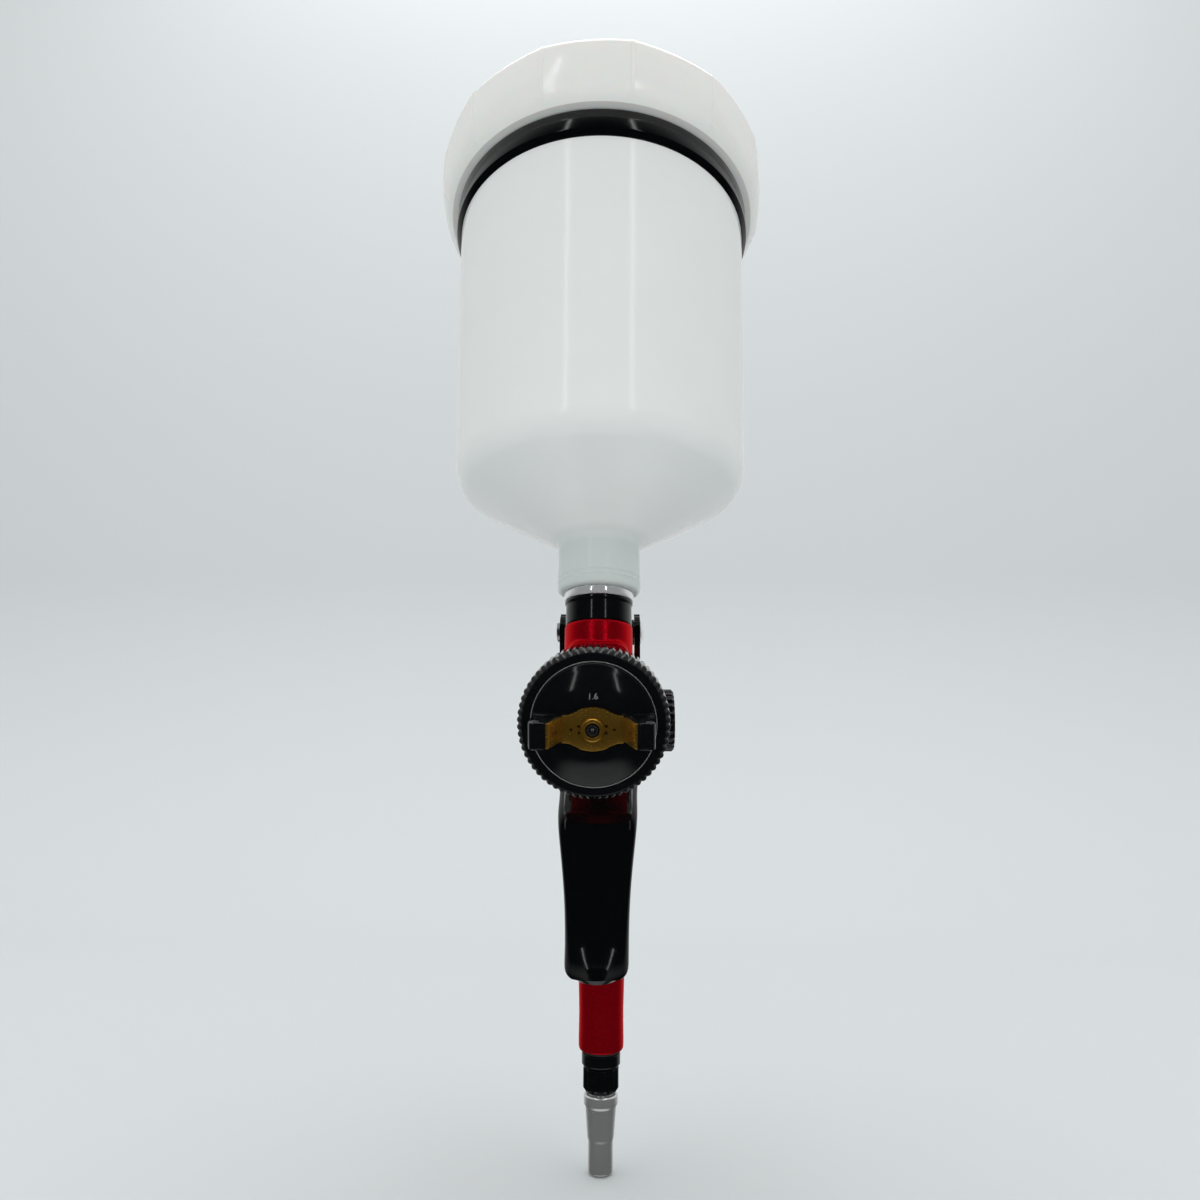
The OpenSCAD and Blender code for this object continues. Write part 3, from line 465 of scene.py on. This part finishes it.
def lid():
    facets, first, cut, rib = 13, math.radians(-90 + 10.7), 0.5, math.radians(0.5)
    step = math.tau / facets
    outer = span("lid", 0)[1] - 0.02
    angles = []
    for i in range(facets):
        start = first + i * step
        angles += [start - rib * 1.12, start - rib, start + rib, start + rib * 1.12]
        angles += [start + rib * 1.12 + (step - 2.24 * rib) * k / 12 for k in range(1, 12)]
    skirt = smooth_line([(outer - 3.9, LID_LOW), (outer - 2.2, LID_LOW + 1.6), (outer - 0.9, LID_LOW + 3.8),
                         (outer - 0.2, LID_LOW + 6.6), (outer, LID_LOW + 9.5)], 4)
    top = rounded([(outer, LID_LOW + 9, 0), (outer, LID_TOP, 2.6), (0, LID_TOP, 0)], 6)[1:-1]
    inside = [(2.6, LID_TOP), (2.6, LID_TOP - 2.4), (CUP_R - 5, LID_TOP - 2.4), (CUP_R - 5, MOUTH + 1.2),
              (CUP_R - 0.8, MOUTH + 1.2), (CUP_R - 0.8, LID_LOW + 0.4), (CUP_R - 0.3, LID_LOW)]

    def faceted(r, z, a):
        if r < CUP_R + 2:
            return r
        off = (a - first + step / 2) % step - step / 2
        from_middle = (step / 2 - abs(off)) / (step / 2)
        hollow = cut * (1 - from_middle ** 2) if abs(off) > rib * 1.05 else -0.0
        fade = min(1.0, max(0.0, (z - LID_LOW) / 6)) * min(1.0, max(0.0, (r - CUP_R - 2) / 3))
        return r - (hollow + (0.1 if hollow else 0.0)) * fade

    outline = [tuple(p) for p in skirt + top] + inside
    piece("lid_shell", turned("lid_shell", outline, AT_CUP, sorted(angles), faceted), "lid", angle=24)


# ---------------------------------------------------------------- neck and air inlet

def neck():
    low, top = span("neck_ring")
    r = span("neck_ring", 0)[1]
    outline = rounded([(THREAD_R, low, 0), (r - 0.1, low, 0.3), (r, low + 0.9, 0.2), (r, top - 0.5, 0.3),
                       (r - 0.5, top, 0.2), (THREAD_R, top, 0)])
    piece("polished_ring", turned("polished_ring", outline, AT_CUP), "neck_ring")
    boss_top = span("neck_adapter")[0] + 6.2
    r = span("neck_adapter", 0)[1]
    tube_top = span("neck_adapter")[1]
    outline = rounded([(4.3, boss_top - 6.2, 0), (7.5, boss_top - 6.2, 0), (7.5, boss_top, 0),
                       (r - 0.5, boss_top, 0.15), (r - 0.35, boss_top + 0.3, 0.1),
                       (r - 0.35, low - 1.5, 0.3), (r, low - 0.9, 0.2), (r, low, 0.2),
                       (8, low, 0), (8, tube_top - 0.6, 0), (7.4, tube_top, 0), (4.3, tube_top, 0)])
    piece("neck_collar", turned("neck_collar", outline, AT_CUP), "neck_adapter")


def air_inlet():
    low, top = span("inlet_fitting")
    seal = span("inlet_seal")[0]
    ring_low = seal - 3.7
    outline = rounded([(2.6, low, 0), (4.9, low, 0.3), (5.85, low + 1.3, 0.3), (5.85, ring_low - 0.6, 0.3),
                       (4.9, ring_low - 0.6, 0.2), (4.9, ring_low, 0.2), (5.9, ring_low, 0.2),
                       (6.3, ring_low + 0.5, 0.3), (6.3, seal - 0.1, 0.3), (4.86, seal, 0), (4.86, top, 0.4),
                       (2.6, top, 0)], 4)
    piece("inlet_body", turned("inlet_body", outline, AT_HANDLE, 240,
                               flutes(12, 0.75, 0.32, 5.2, low, ring_low - 0.5)), "inlet_fitting", angle=40)
    end = span("air_plug")[1] - 8
    outline = rounded([(2.2, 0, 0.3), (3.95, 0, 0.5), (3.95, 8.6, 0.6), (4.25, 9.4, 0.6), (5.0, end - 3.6, 0.8),
                       (5.5, end - 2.8, 0.4), (5.5, end - 0.4, 0.3), (5.1, end, 0.2), (4, end, 0),
                       (4, end + 8, 0.3), (2.2, end + 8, 0.2)], 4)
    piece("plug", turned("plug", outline, AT_HANDLE), "air_plug")


# ---------------------------------------------------------------- gun body

def grip():
    """The handle as one smooth loft, from its round lower end up into the block."""
    low = span("inlet_seal")[1]
    stations = [(0.0, 6.4, 6.4, 6.4, 2.0), (0.9, 7.35, 7.35, 7.35, 2.0), (10, 7.35, 7.35, 7.35, 2.0),
                (17, 7.5, 7.7, 7.75, 2.05), (27, 7.9, 8.5, 8.9, 2.15), (38, 8.3, 9.4, 10.2, 2.25),
                (48, 8.55, 10.2, 11.2, 2.3), (58, 8.8, 10.6, 12.0, 2.35), (68, 9.15, 11.6, 13.1, 2.4),
                (76, 9.4, 13.2, 14.6, 2.5), (84, 9.6, 14.4, 17.2, 2.6), (93, 9.5, 13.5, 18.5, 2.6)]
    line = smooth_line([tuple(s) for s in stations], 5)
    bm = bmesh.new()
    rings = []
    for rise, wide, front, back, power in line:
        ring = []
        for i in range(64):
            a = math.tau * i / 64
            c, s = math.cos(a), math.sin(a)
            x = wide * math.copysign(abs(c) ** (2 / power), c)
            y = (back if s > 0 else front) * math.copysign(abs(s) ** (2 / power), s)
            ring.append(bm.verts.new((x * MM, y * MM, (low + rise) * MM)))
        rings.append(ring)
    for a, b in zip(rings, rings[1:]):
        for i in range(64):
            j = (i + 1) % 64
            bm.faces.new((a[i], a[j], b[j], b[i]))
    bm.faces.new(rings[0][::-1])
    bm.faces.new(rings[-1])
    return to_mesh("grip", bm, Matrix.Identity(4))


def gun_body():
    skin = remeshed("body_skin", [hidden_copy("gun_body"), grip()], 0.45, 5)
    piece("body_skin", skin, "gun_body", angle=60)


# ---------------------------------------------------------------- nozzle set

BAR_SEAT, BAR_FRONT, CORE_FRONT, HORN_FRONT, DOME_FRONT = 43.2, 44.3, 45.4, 51.4, 42.8
WINDOW_R, RING_R = 14.45, 18.0
TEETH = 64


def cap_ring():
    stub, flange = 13.25, 15.6
    outline = rounded([(stub, RING_REAR, 0), (RING_R - 1.6, RING_REAR, 0.2), (RING_R - 1.6, RING_REAR + 2.2, 0.2),
                       (RING_R, RING_REAR + 3.4, 0.3), (RING_R, RING_FRONT - 1.5, 0.3),
                       (RING_R - 1.35, RING_FRONT, 0.35), (WINDOW_R + 0.05, RING_FRONT, 0.35),
                       (WINDOW_R + 0.05, 36.7, 0), (flange, 36.7, 0), (flange, 32.6, 0), (stub, 32.6, 0)], 3)

    def teeth(r, z, a):
        if r < RING_R - 1.25 or z < RING_REAR + 2.6:
            return r
        off = abs((a * TEETH / math.tau + 0.5) % 1 - 0.5) * 2
        full = max(0.0, r - (RING_R - 1.25))
        return r - min(full, 0.42) * (1 - math.sin(math.pi / 2 * off))

    mesh = turned("ring_nut", outline, AT_HEAD, TEETH * 12, teeth)
    piece("ring_nut", mesh, "air_cap_ring", angle=35)
    bare = rounded([(WINDOW_R + 0.05, RING_FRONT - 0.5, 0), (WINDOW_R + 0.3, RING_FRONT - 0.5, 0),
                    (WINDOW_R + 0.36, RING_FRONT + 0.02, 0.05), (WINDOW_R + 0.12, RING_FRONT - 0.06, 0.05)], 3)
    piece("ring_edge", turned("ring_edge", bare, AT_HEAD, 180), "air_cap_ring", False, "nickel_plate")


def air_cap():
    edge = WINDOW_R - 0.05
    low = 34.5
    dome = [(5 + (edge - 5.9) * q, RING_FRONT + 1.0 + (DOME_FRONT - RING_FRONT - 1.0) * (1 - q * q))
            for q in (1 - k / 16 for k in range(17))]
    lower = [(7, low, 0), (15.2, low, 0.1), (15.2, 36.6, 0.1), (edge, 36.6, 0), (edge, RING_FRONT + 0.5, 0.45)]
    outline = rounded(lower + [(x, y, 0) for x, y in dome] + [(5, 38.5, 0), (7, 38.5, 0)], 5)
    piece("cap_dome", turned("cap_dome", outline, AT_HEAD, 180), "air_cap", angle=50)
    # the raised bar, and a horn at each end of it
    bar = [(-13.9, -3.1), (13.9, -3.1), (13.9, 3.3), (-13.9, 3.3)]
    piece("cap_bar", slab("cap_bar", bar, 39, BAR_SEAT, AT_HEAD, 0.4), "air_cap", False)
    side = Matrix.Rotation(math.pi / 2, 4, "X")
    for s, name in ((-1, "left"), (1, "right")):
        outer = [(7.7, BAR_SEAT - 2), (7.7, BAR_SEAT + 0.3), (9.9, HORN_FRONT - 0.3), (10.4, HORN_FRONT),
                 (12.9, HORN_FRONT), (13.8, HORN_FRONT - 1), (13.9, 40), (7.7, 40)]
        outer = [(s * x, y) for x, y in outer][::s]
        mesh = slab("horn_" + name, outer, -3.0, 3.0, AT_HEAD @ side, 0.45)
        piece("horn_" + name, mesh, "air_cap", False)


def cut_holes(made, holes):
    """Bores round holes, each given as (matrix, radius, depth) in mm."""
    bm = bmesh.new()
    for matrix, radius, depth in holes:
        bmesh.ops.create_cone(bm, cap_ends=True, segments=20, radius1=radius * MM, radius2=radius * MM,
                              depth=depth * MM, matrix=matrix)
    tool = bpy.data.objects.new("tool", bpy.data.meshes.new("tool"))
    bm.to_mesh(tool.data)
    bm.free()
    SCENE.collection.objects.link(tool)
    cut = made.modifiers.new("holes", "BOOLEAN")
    cut.operation, cut.object, cut.solver = "DIFFERENCE", tool, "EXACT"
    bpy.context.view_layer.update()
    mesh = bpy.data.meshes.new_from_object(made.evaluated_get(bpy.context.evaluated_depsgraph_get()))
    made.modifiers.remove(cut)
    bpy.data.objects.remove(tool)
    shade(mesh, 30)
    made.data = mesh


def cap_core():
    """The gold centre: a plate with a round middle, a wing up each horn and a ring round the tip."""
    quarter = smooth_line([(7.0, 3.05), (5.6, 3.15), (4.1, 3.7), (2.4, 4.55), (0, 4.9)], 5)
    right = [(x, y) for x, y in quarter]
    top = right + [(-x, y) for x, y in right[-2::-1]]
    plate = top + [(x, -y) for x, y in top[::-1]]
    made = piece("core_plate", slab("core_plate", plate, BAR_SEAT - 1, BAR_FRONT, AT_HEAD, 0.1), "air_cap_core")
    holes = [(AT_HEAD @ Matrix.Translation((0, 0, BAR_FRONT * MM)), 1.62, 6)]
    for s in (-1, 1):
        for x, y in ((4.85, 0), (3.1, 0.75), (3.1, -0.75)):
            holes.append((AT_HEAD @ Matrix.Translation((s * x * MM, y * MM, BAR_FRONT * MM)), 0.3, 3))
    cut_holes(made, holes)
    boss = rounded([(1.62, BAR_FRONT - 1, 0), (2.7, BAR_FRONT - 1, 0), (2.7, BAR_FRONT + 0.5, 0.3),
                    (2.45, CORE_FRONT, 0.35), (1.62, CORE_FRONT - 0.15, 0.25)], 4)
    piece("core_boss", turned("core_boss", boss, AT_HEAD, 72), "air_cap_core", False)
    side = Matrix.Rotation(math.pi / 2, 4, "X")
    for s, name in ((-1, "left"), (1, "right")):
        outer = [(6.7, BAR_SEAT), (7.9, BAR_SEAT), (9.95, HORN_FRONT - 0.4), (9.35, HORN_FRONT - 0.4),
                 (6.95, BAR_FRONT - 0.1)]
        outer = [(s * x, y) for x, y in outer][::s]
        mesh = slab("wing_" + name, outer, -2.75, 2.75, AT_HEAD @ side, 0.12)
        wing = piece("wing_" + name, mesh, "air_cap_core", False)
        holes = []
        for u in (0.4, 0.62):
            spot = Matrix.Translation((s * (6.95 + 2.45 * u) * MM, 0, (BAR_FRONT + 6.7 * u) * MM))
            holes.append((AT_HEAD @ spot @ Matrix.Rotation(math.radians(-71 * s), 4, "Y"), 0.45, 2.4))
        cut_holes(wing, holes)


def size_mark():
    """The nozzle size in small plain figures on the cap."""
    text = bpy.data.curves.new("size_mark", "FONT")
    text.body, text.size, text.extrude = "1.6", 2.0 * MM, 0.012 * MM
    text.align_x, text.align_y = "CENTER", "CENTER"
    made = bpy.data.objects.new("size_mark", text)
    SCENE.collection.objects.link(made)
    q = (7.2 - 5) / (WINDOW_R - 5.95)
    height = RING_FRONT + 1.0 + (DOME_FRONT - RING_FRONT - 1.0) * (1 - q * q)
    slope = 2 * q * (DOME_FRONT - RING_FRONT - 1.0) / (WINDOW_R - 5.95)
    made.matrix_world = (AT_HEAD @ Matrix.Translation((0, 7.2 * MM, (height + 0.012) * MM))
                         @ Matrix.Rotation(-math.atan(slope), 4, "X"))
    text.materials.append(FINISHES["nickel_plate"].material)
    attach(made, BODY["air_cap"])


# ---------------------------------------------------------------- trigger and knobs

def trigger():
    """A bent sheet: two straps from the pivot, a web, and the curved finger piece."""
    f, u = Vector((-math.cos(TILT), -math.sin(TILT))), Vector((-math.sin(TILT), math.cos(TILT)))
    here, web, length, thick = -Vector((15, 22)), -20.0, 95.0, 1.8
    front = smooth_line([(-6, 1), here + f * (web + 4) + u * 8, here + f * (web + 0.1) + u,
                         here + f * web - u * 6, here + f * web - u * 13, here + f * web - u * 19,
                         (-4.4, -46), (-14.6, -55), (-15.6, -62), (-14, -length * 0.8),
                         (-15.2, -length * 0.94), (-19, -length)], 8)
    back = smooth_line([(6, 1), here + f * (web - 10) + u * 4, here + f * (web - 10) - u * 6,
                        here + f * (web - 10) - u * 17, (1.2, -50), (-4.5, -62), (-7.5, -length * 0.86),
                        (-13, -length * 0.96), (-17.6, -length)], 8)
    edge = smooth_line([(12.4, 20), (12.4, -34), (11.2, -48), (11, -56), (9.5, -70), (8.8, -80), (8.5, -92),
                        (8.5, -96)], 8)

    def at(line, z):
        for a, b in zip(line, line[1:]):
            if (a.y - z) * (b.y - z) <= 0 and a.y != b.y:
                return a.x + (b.x - a.x) * (z - a.y) / (b.y - a.y)
        return line[-1].x

    levels = [5.9, 5.6, 5, 4, 2.5, 0, -3, -6, -9, -12, -14.5, -17, -20, -24, -28, -32, -36, -40, -43, -46, -49,
              -51.5, -54, -57, -60, -64, -68, -72, -76, -80, -84, -88, -91, -93, -94.2, -94.9]
    bm = bmesh.new()
    rows = []
    columns = 26
    for z in levels:
        half = at(edge, z)
        yf, yb = at(front, z), at(back, z)
        if z > 0:
            reach = max(0.3, math.sqrt(max(0.0, 36 - z * z)))
            yf, yb = -reach, reach
        tip = max(0.0, (-z - (length - 2.5)) / 2.5)
        half -= 2.5 * (1 - math.sqrt(max(0.0, 1 - tip * tip)))
        depth = max(yb - yf, thick * 1.2)
        corner = min(2.4, depth * 0.6)
        path = [(-half, yb)]
        path += [(-half, yb + (yf + corner - yb) * k / 5) for k in range(1, 6)]
        path += [(-half + corner * (1 - math.cos(a)), yf + corner * (1 - math.sin(a)))
                 for a in (math.pi / 2 * k / 5 for k in range(1, 6))]
        path += [((-half + corner) * (1 - k / 4), yf) for k in range(1, 5)]
        crown = 2.0 * min(1.0, max(0.0, (-z - 72) / 18))
        path = [(x, y + crown * (x / half) ** 2) for x, y in path]
        path += [(-x, y) for x, y in path[-2::-1]]
        rows.append([bm.verts.new((x * MM, y * MM, z * MM)) for x, y in path])
    columns = len(rows[0]) - 1
    for i, (a, b) in enumerate(zip(rows, rows[1:])):
        for k in range(columns):
            open_front = levels[i + 1] >= -20 and 5 <= k < columns - 5
            if not open_front:
                bm.faces.new((a[k], a[k + 1], b[k + 1], b[k]))
    loose = [v for v in bm.verts if not v.link_faces]
    bmesh.ops.delete(bm, geom=loose, context="VERTS")
    bmesh.ops.recalc_face_normals(bm, faces=bm.faces)
    bm.normal_update()
    if min(bm.faces, key=lambda f: f.calc_center_median().y).normal.y > 0:
        bmesh.ops.reverse_faces(bm, faces=bm.faces)
    mesh = to_mesh("trigger_sheet", bm, Matrix.Translation(PIVOT * MM))
    made = bpy.data.objects.new("trigger_work", mesh)
    SCENE.collection.objects.link(made)
    sheet = made.modifiers.new("sheet", "SOLIDIFY")
    sheet.thickness, sheet.offset, sheet.use_even_offset = thick * MM, -1, True
    round_off = made.modifiers.new("edges", "BEVEL")
    round_off.width, round_off.segments, round_off.limit_method = 0.45 * MM, 2, "ANGLE"
    round_off.angle_limit = math.radians(50)
    fine = made.modifiers.new("fine", "SUBSURF")
    fine.levels = fine.render_levels = 1
    bpy.context.view_layer.update()
    done = bpy.data.meshes.new_from_object(made.evaluated_get(bpy.context.evaluated_depsgraph_get()))
    bpy.data.objects.remove(made)
    piece("trigger_sheet", done, "trigger", angle=60)


def knobs():
    rear, front = -96.4, -83.4
    r = span("fluid_knob", 0)[1]
    outline = rounded([(2.35, front + 8, 0), (3.4, front + 8, 0.2), (3.4, front, 0.2), (r - 0.5, front, 0.3),
                       (r, front - 0.7, 0.3), (r, rear + 1.2, 0.5), (r - 1.2, rear, 0.4), (3.5, rear, 0.2),
                       (3.4, rear + 1.2, 0.1), (0, rear + 1.2, 0), (0, rear + 6, 0), (2.35, rear + 6, 0)], 4)
    mesh = turned("fluid_knob_grip", outline, AT_HEAD, 288, flutes(24, 0.5, 0.34, r - 0.7, rear + 0.4, front - 0.8))
    piece("fluid_knob_grip", mesh, "fluid_knob", angle=40)
    r, low = 8.1, 16.6
    outline = rounded([(1.83, low, 0), (r - 0.6, low, 0.2), (r, low + 0.6, 0.2), (r, low + 3.0, 0.2),
                       (r - 0.6, low + 3.6, 0.2), (1.83, low + 3.6, 0.1)], 4)
    mesh = turned("fan_knob_grip", outline, AT_FAN, 240, flutes(24, 0.3, 0.36, r - 0.7))
    piece("fan_knob_grip", mesh, "fan_knob", angle=40)


for node, made in frame["nodes"].items():
    finish(made, SLOT[node])

cup()
cup_collar()
lid()
neck()
air_inlet()
gun_body()
cap_ring()
air_cap()
cap_core()
size_mark()
trigger()
knobs()


# ---------------------------------------------------------------- room, lamps and camera

def sweep():
    """A floor that curves up into a wall behind."""
    profile = [(-0.32, 0)] + [(0.35 + 0.45 * math.sin(a), 0.45 * (1 - math.cos(a)))
                             for a in (math.pi / 2 * k / 24 for k in range(25))] + [(0.8, 3.0)]
    bm = bmesh.new()
    rows = [[bm.verts.new((x, y, z)) for y, z in profile] for x in (-3, 3)]
    for k in range(len(profile) - 1):
        bm.faces.new((rows[0][k], rows[1][k], rows[1][k + 1], rows[0][k + 1]))
    made = bpy.data.objects.new("backdrop", to_mesh("backdrop", bm, Matrix.Translation((0, 0, -0.0005))))
    SCENE.collection.objects.link(made)
    shade(made.data, 60)
    f = Finish("backdrop_paper", (0.655, 0.685, 0.695), Roughness=0.9, Specular_IOR_Level=0.1)
    f.tint(f.grain(400, 2), (0.665, 0.695, 0.705))
    made.data.materials.append(f.material)
    made.visible_glossy = False


def lamp(name, place, aim, size, watts):
    light = bpy.data.lights.new(name, "AREA")
    light.shape, light.size, light.size_y, light.energy = "RECTANGLE", size[0], size[1], watts
    made = bpy.data.objects.new(name, light)
    SCENE.collection.objects.link(made)
    made.location = place
    made.rotation_euler = (Vector(aim) - Vector(place)).to_track_quat("-Z", "Y").to_euler()
    return made


def room():
    """Soft light from all round, and a dimmer front in what glossy surfaces mirror."""
    sweep()
    world = bpy.data.worlds.new("room")
    SCENE.world = world
    world.use_nodes = True
    tree = world.node_tree
    back = tree.nodes["Background"]
    place = tree.nodes.new("ShaderNodeTexCoord")
    lean = tree.nodes.new("ShaderNodeVectorMath")
    lean.operation = "DOT_PRODUCT"
    lean.inputs[1].default_value = (0, 0.75, 0.65)
    tree.links.new(place.outputs["Generated"], lean.inputs[0])
    fade = tree.nodes.new("ShaderNodeMapRange")
    fade.interpolation_type = "SMOOTHSTEP"
    for key, value in (("From Min", -0.12), ("From Max", 0.62), ("To Min", 0.008), ("To Max", 0.72)):
        fade.inputs[key].default_value = value
    tree.links.new(lean.outputs["Value"], fade.inputs["Value"])
    path = tree.nodes.new("ShaderNodeLightPath")
    choose = tree.nodes.new("ShaderNodeMix")
    choose.inputs[2].default_value = 0.78
    tree.links.new(path.outputs["Is Glossy Ray"], choose.inputs[0])
    height = tree.nodes.new("ShaderNodeSeparateXYZ")
    tree.links.new(place.outputs["Generated"], height.inputs[0])
    below = tree.nodes.new("ShaderNodeMapRange")
    below.interpolation_type = "SMOOTHSTEP"
    for key, value in (("From Min", -0.8), ("From Max", -0.95), ("To Min", 0.0), ("To Max", 0.65)):
        below.inputs[key].default_value = value
    tree.links.new(height.outputs["Z"], below.inputs["Value"])
    most = tree.nodes.new("ShaderNodeMath")
    most.operation = "MAXIMUM"
    tree.links.new(fade.outputs["Result"], most.inputs[0])
    tree.links.new(below.outputs["Result"], most.inputs[1])
    tree.links.new(most.outputs[0], choose.inputs[3])
    tree.links.new(choose.outputs[0], back.inputs["Strength"])
    back.inputs["Color"].default_value = (0.99, 1.0, 1.0, 1)
    for name, x in (("strip_left", -0.32), ("strip_right", 0.33)):
        strip = lamp(name, (x, -0.8, 0.8), (0, -0.06, 0.8), (0.03, 1.1), 0.55)
        strip.visible_diffuse = strip.visible_camera = False
    fill = lamp("fill", (0, -0.9, 0.05), (0, -0.06, 0.25), (0.6, 0.5), 1.25)
    fill.visible_glossy = fill.visible_camera = False
    lamp("ceiling", (0, 0.0, 2.3), (0, -0.06, 0), (1.8, 1.5), 20).visible_camera = False


def camera():
    made = bpy.data.objects.new("camera", bpy.data.cameras.new("camera"))
    SCENE.collection.objects.link(made)
    made.data.lens, made.data.sensor_width = 21.6, 36
    made.data.clip_start = 0.01
    made.location = (0.0059, (CUP_Y - 205.1) * MM, 0.11198)
    pitch, yaw, roll = math.radians(90 + 15.67), math.radians(1.56), math.radians(0.4)
    made.matrix_world = (Matrix.Translation(made.location) @ Matrix.Rotation(yaw, 4, "Z")
                         @ Matrix.Rotation(pitch, 4, "X") @ Matrix.Rotation(roll, 4, "Z"))
    SCENE.camera = made


SCENE.view_settings.view_transform = "Standard"
room()
camera()
